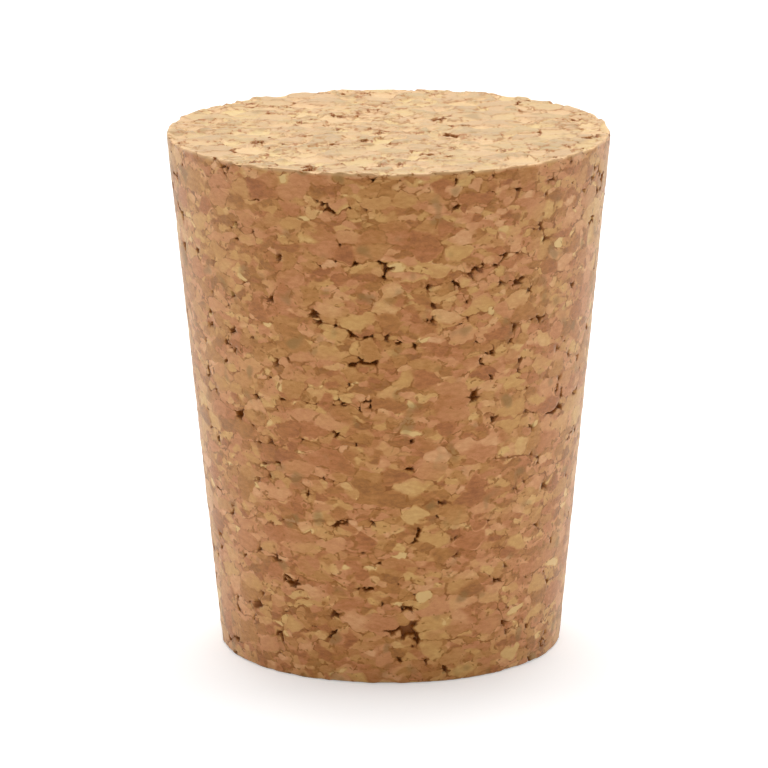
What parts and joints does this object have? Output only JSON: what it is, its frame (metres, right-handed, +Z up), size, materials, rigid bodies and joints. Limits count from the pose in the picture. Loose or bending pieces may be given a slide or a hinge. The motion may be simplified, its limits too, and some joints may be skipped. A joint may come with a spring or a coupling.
{
  "type": "cork stopper",
  "caption": "Tapered round stopper of pressed cork granules. It plugs the neck of a bottle, flask or jar, and stands on its flat small end.",
  "frame": {"origin": "centre of the small end's flat face, which the stopper stands on", "axes": "+Z up along the stopper's axis, from the small end to the large end"},
  "size_m": [0.038, 0.038, 0.045],
  "materials": {
    "cork": "matte pressed cork granules with open pits"
  },
  "bodies": {
    "root": {"cork_stopper": "cork"}
  },
  "joints": []
}
